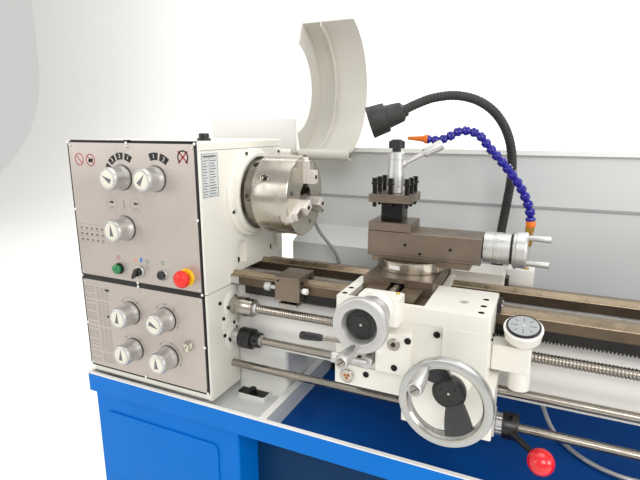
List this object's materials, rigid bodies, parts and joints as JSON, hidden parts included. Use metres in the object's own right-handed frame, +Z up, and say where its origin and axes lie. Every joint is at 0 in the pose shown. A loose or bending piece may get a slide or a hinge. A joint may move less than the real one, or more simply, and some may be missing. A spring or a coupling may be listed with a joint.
{
  "type": "metal lathe",
  "caption": "Screw-cutting engine lathe with gearbox headstock, three-jaw chuck, swing guard, carriage with compound slide, tailstock, chip tray and cabinet stand.",
  "frame": {"origin": "middle of the machine's footprint at floor level", "axes": "+X from headstock to tailstock along the spindle axis, +Y to the back, +Z up"},
  "size_m": [1.995, 0.764, 1.5806],
  "materials": {
    "cast_paint": "satin off-white enamel over cast iron",
    "blue_paint": "bright blue powder coat",
    "grey_paint": "light grey enamel on sheet",
    "ground_iron": "ground and oiled cast iron",
    "machined_steel": "turned bright steel",
    "chuck_steel": "polished",
    "panel_steel": "brushed, vertical grain",
    "knob_metal": "satin",
    "black_plastic": "satin black",
    "red_plastic": "gloss red",
    "guard_sheet": "white enamel sheet",
    "belt_rubber": "matt",
    "hose_plastic": "blue jointed hose",
    "lamp_black": "black crinkle and ribbed sleeve",
    "cable_grey": "matt grey sheath",
    "conduit_steel": "wound flexible conduit"
  },
  "bodies": {
    "frame": {"bed": "ground_iron", "chip_tray": "blue_paint", "stand": "blue_paint", "headstock_casting": "cast_paint", "headstock_lid": "cast_paint", "front_panels": "panel_steel", "feed_gearbox": "cast_paint", "end_cover": "cast_paint", "electrical_box": "grey_paint", "splash_guard": "grey_paint", "motor": "grey_paint", "bed_stop": "ground_iron", "drive_belt": "belt_rubber", "switch_cable": "cable_grey", "feed_conduit": "conduit_steel"},
    "spindle": {"spindle": "machined_steel", "chuck_body": "chuck_steel"},
    "scroll": {"chuck_scroll": "machined_steel"},
    "jaw_1": {"chuck_jaw_1": "chuck_steel"},
    "jaw_2": {"chuck_jaw_2": "chuck_steel"},
    "jaw_3": {"chuck_jaw_3": "chuck_steel"},
    "guard": {"chuck_guard": "guard_sheet"},
    "motor_rotor": {"motor_pulley": "machined_steel"},
    "input_shaft": {"input_pulley": "machined_steel"},
    "idler": {"idler_gear": "machined_steel"},
    "leadscrew": {"leadscrew": "machined_steel"},
    "feed_rod": {"feed_rod": "machined_steel"},
    "control_rod": {"control_rod": "machined_steel"},
    "estop": {"estop_button": "red_plastic"},
    "selector": {"selector_switch": "black_plastic"},
    "start_button": {"push_button": "black_plastic"},
    "carriage": {"saddle": "cast_paint", "apron": "cast_paint", "coolant_line": "hose_plastic", "lamp": "lamp_black"},
    "thread_dial": {"thread_dial": "machined_steel"},
    "apron_wheel": {"apron_handwheel": "machined_steel"},
    "cross_wheel": {"cross_handwheel": "machined_steel"},
    "cross_slide": {"cross_slide": "ground_iron"},
    "swivel": {"swivel_base": "machined_steel"},
    "top_slide": {"top_slide": "ground_iron"},
    "compound_wheel": {"compound_handwheel": "machined_steel"},
    "tool_post": {"tool_post": "ground_iron"},
    "clamp_lever": {"clamp_lever": "machined_steel"},
    "half_nut_lever": {"half_nut_lever": "machined_steel"},
    "feed_lever": {"feed_lever": "machined_steel"},
    "control_lever": {"control_lever": "black_plastic"},
    "tailstock": {"tailstock_base": "cast_paint", "tailstock_body": "cast_paint"},
    "quill": {"tailstock_quill": "machined_steel"},
    "tail_wheel": {"tailstock_handwheel": "machined_steel"},
    "quill_lock": {"quill_lock": "machined_steel"},
    "tail_clamp": {"tailstock_clamp": "machined_steel"},
    "knob_range": {"knob_range": "knob_metal"},
    "knob_speed": {"knob_speed": "knob_metal"},
    "knob_reverse": {"knob_reverse": "knob_metal"},
    "knob_feed_a": {"knob_feed_a": "knob_metal"},
    "knob_feed_b": {"knob_feed_b": "knob_metal"},
    "knob_feed_c": {"knob_feed_c": "knob_metal"},
    "knob_feed_d": {"knob_feed_d": "knob_metal"}
  },
  "joints": [
    {"name": "spindle_spin", "type": "hinge", "parent": "frame", "child": "spindle", "pos_m": [-0.5275, 0.024, 1.15], "axis": [1, 0, 0], "continuous": true},
    {"name": "input_spin", "type": "hinge", "parent": "frame", "child": "input_shaft", "pos_m": [-0.5275, 0.142, 1.13], "axis": [1, 0, 0], "continuous": true},
    {"name": "motor_spin", "type": "hinge", "parent": "frame", "child": "motor_rotor", "pos_m": [-0.5275, 0.274, 0.83], "axis": [1, 0, 0], "continuous": true},
    {"name": "idler_spin", "type": "hinge", "parent": "frame", "child": "idler", "pos_m": [-0.5275, -0.001, 1.0021], "axis": [1, 0, 0], "continuous": true},
    {"name": "leadscrew_spin", "type": "hinge", "parent": "frame", "child": "leadscrew", "pos_m": [-0.5275, -0.076, 0.878], "axis": [1, 0, 0], "continuous": true},
    {"name": "feed_rod_spin", "type": "hinge", "parent": "frame", "child": "feed_rod", "pos_m": [-0.5275, -0.076, 0.795], "axis": [1, 0, 0], "continuous": true},
    {"name": "scroll_turn", "type": "hinge", "parent": "spindle", "child": "scroll", "pos_m": [-0.5275, 0.024, 1.15], "axis": [1, 0, 0], "range_deg": [-270, 675]},
    {"name": "jaw_1_slide", "type": "slide", "parent": "spindle", "child": "jaw_1", "axis": [0, 0, -1], "range_m": [-0.006, 0.015]},
    {"name": "jaw_2_slide", "type": "slide", "parent": "spindle", "child": "jaw_2", "axis": [0, 0.866, 0.5], "range_m": [-0.006, 0.015]},
    {"name": "jaw_3_slide", "type": "slide", "parent": "spindle", "child": "jaw_3", "axis": [0, -0.866, 0.5], "range_m": [-0.006, 0.015]},
    {"name": "guard_swing", "type": "hinge", "parent": "frame", "child": "guard", "pos_m": [-0.5275, 0.18, 1.241], "axis": [1, 0, 0], "range_deg": [0, 104]},
    {"name": "apron_wheel_turn", "type": "hinge", "parent": "carriage", "child": "apron_wheel", "pos_m": [0.0395, -0.266, 0.854], "axis": [0, 1, 0], "range_deg": [-1584, 6624]},
    {"name": "carriage_slide", "type": "slide", "parent": "frame", "child": "carriage", "axis": [1, 0, 0], "range_m": [-0.1101, 0.4601]},
    {"name": "thread_dial_turn", "type": "hinge", "parent": "carriage", "child": "thread_dial", "pos_m": [0.1485, -0.114, 0.922], "axis": [0, -0.3401, 0.9404], "range_deg": [-851, 3261]},
    {"name": "cross_wheel_turn", "type": "hinge", "parent": "carriage", "child": "cross_wheel", "pos_m": [-0.1015, 0.024, 0.985], "axis": [0, 1, 0], "range_deg": [-7200, 5400]},
    {"name": "cross_slide_move", "type": "slide", "parent": "carriage", "child": "cross_slide", "axis": [0, 1, 0], "range_m": [-0.0801, 0.0601]},
    {"name": "swivel_turn", "type": "hinge", "parent": "cross_slide", "child": "swivel", "pos_m": [-0.1015, 0.02, 1.15], "axis": [0, 0, 1], "range_deg": [-60, 10]},
    {"name": "compound_wheel_turn", "type": "hinge", "parent": "top_slide", "child": "compound_wheel", "pos_m": [-0.5275, 0.02, 1.065], "axis": [-1, 0, 0], "range_deg": [-2400, 7200]},
    {"name": "top_slide_move", "type": "slide", "parent": "swivel", "child": "top_slide", "axis": [-1, 0, 0], "range_m": [-0.0201, 0.0601]},
    {"name": "tool_post_turn", "type": "hinge", "parent": "top_slide", "child": "tool_post", "pos_m": [-0.1435, 0.02, 1.15], "axis": [0, 0, 1], "continuous": true},
    {"name": "clamp_turn", "type": "hinge", "parent": "top_slide", "child": "clamp_lever", "pos_m": [-0.1435, 0.02, 1.15], "axis": [0, 0, -1], "range_deg": [-20, 50]},
    {"name": "half_nut_turn", "type": "hinge", "parent": "carriage", "child": "half_nut_lever", "pos_m": [-0.1245, 0.024, 0.9], "axis": [0, -1, 0], "range_deg": [0, 25]},
    {"name": "feed_lever_turn", "type": "hinge", "parent": "carriage", "child": "feed_lever", "pos_m": [-0.1245, 0.024, 0.866], "axis": [0, -1, 0], "range_deg": [-8, 25]},
    {"name": "control_lever_turn", "type": "hinge", "parent": "carriage", "child": "control_lever", "pos_m": [-0.5275, -0.082, 0.723], "axis": [1, 0, 0], "range_deg": [-18, 20]},
    {"name": "control_rod_turn", "type": "hinge", "parent": "frame", "child": "control_rod", "pos_m": [-0.5275, -0.082, 0.723], "axis": [1, 0, 0], "range_deg": [-18, 20]},
    {"name": "range_knob_turn", "type": "hinge", "parent": "frame", "child": "knob_range", "pos_m": [-0.7485, 0.024, 1.197], "axis": [0, -1, 0], "range_deg": [-60, 60]},
    {"name": "speed_knob_turn", "type": "hinge", "parent": "frame", "child": "knob_speed", "pos_m": [-0.6465, 0.024, 1.198], "axis": [0, -1, 0], "range_deg": [-60, 60]},
    {"name": "reverse_knob_turn", "type": "hinge", "parent": "frame", "child": "knob_reverse", "pos_m": [-0.7505, 0.024, 1.075], "axis": [0, -1, 0], "range_deg": [-60, 60]},
    {"name": "feed_a_knob_turn", "type": "hinge", "parent": "frame", "child": "knob_feed_a", "pos_m": [-0.7595, 0.024, 0.856], "axis": [0, -1, 0], "range_deg": [-60, 60]},
    {"name": "feed_b_knob_turn", "type": "hinge", "parent": "frame", "child": "knob_feed_b", "pos_m": [-0.6455, 0.024, 0.858], "axis": [0, -1, 0], "range_deg": [-60, 60]},
    {"name": "feed_c_knob_turn", "type": "hinge", "parent": "frame", "child": "knob_feed_c", "pos_m": [-0.7585, 0.024, 0.758], "axis": [0, -1, 0], "range_deg": [-60, 60]},
    {"name": "feed_d_knob_turn", "type": "hinge", "parent": "frame", "child": "knob_feed_d", "pos_m": [-0.6455, 0.024, 0.759], "axis": [0, -1, 0], "range_deg": [-60, 60]},
    {"name": "selector_turn", "type": "hinge", "parent": "frame", "child": "selector", "pos_m": [-0.7165, 0.024, 0.97], "axis": [0, -1, 0], "range_deg": [-45, 45]},
    {"name": "estop_push", "type": "slide", "parent": "frame", "child": "estop", "axis": [0, 1, 0], "range_m": [0, 0.006]},
    {"name": "start_push", "type": "slide", "parent": "frame", "child": "start_button", "axis": [0, 1, 0], "range_m": [0, 0.003], "stiffness_N_per_m": 400},
    {"name": "tailstock_slide", "type": "slide", "parent": "frame", "child": "tailstock", "axis": [1, 0, 0], "range_m": [-0.3, 0]},
    {"name": "tail_wheel_turn", "type": "hinge", "parent": "tailstock", "child": "tail_wheel", "pos_m": [-0.5275, 0.024, 1.15], "axis": [-1, 0, 0], "range_deg": [0, 9000]},
    {"name": "quill_feed", "type": "slide", "parent": "tailstock", "child": "quill", "axis": [-1, 0, 0], "range_m": [0, 0.1001]},
    {"name": "quill_lock_turn", "type": "hinge", "parent": "tailstock", "child": "quill_lock", "pos_m": [0.6975, 0.024, 1.15], "axis": [0, 0, 1], "range_deg": [0, 60]},
    {"name": "tailstock_clamp_turn", "type": "hinge", "parent": "tailstock", "child": "tail_clamp", "pos_m": [0.8075, 0.024, 1.09], "axis": [0, 1, 0], "range_deg": [-60, 0]}
  ],
  "couplings": [
    {"joint": "input_spin", "follows": "spindle_spin", "ratio": 1.65},
    {"joint": "motor_spin", "follows": "spindle_spin", "ratio": 2.4648},
    {"joint": "idler_spin", "follows": "spindle_spin", "ratio": -0.36364},
    {"joint": "leadscrew_spin", "follows": "spindle_spin", "ratio": 1.1429},
    {"joint": "feed_rod_spin", "follows": "spindle_spin", "ratio": 0.2},
    {"joint": "jaw_1_slide", "follows": "scroll_turn", "m_per_rad": 0.0012732},
    {"joint": "jaw_2_slide", "follows": "scroll_turn", "m_per_rad": 0.0012732},
    {"joint": "jaw_3_slide", "follows": "scroll_turn", "m_per_rad": 0.0012732},
    {"joint": "carriage_slide", "follows": "apron_wheel_turn", "m_per_rad": 0.0039789},
    {"joint": "thread_dial_turn", "follows": "apron_wheel_turn", "ratio": 0.49213},
    {"joint": "cross_slide_move", "follows": "cross_wheel_turn", "m_per_rad": 0.0006366},
    {"joint": "top_slide_move", "follows": "compound_wheel_turn", "m_per_rad": 0.0004775},
    {"joint": "control_rod_turn", "follows": "control_lever_turn", "ratio": 1},
    {"joint": "quill_feed", "follows": "tail_wheel_turn", "m_per_rad": 0.0006366}
  ]
}
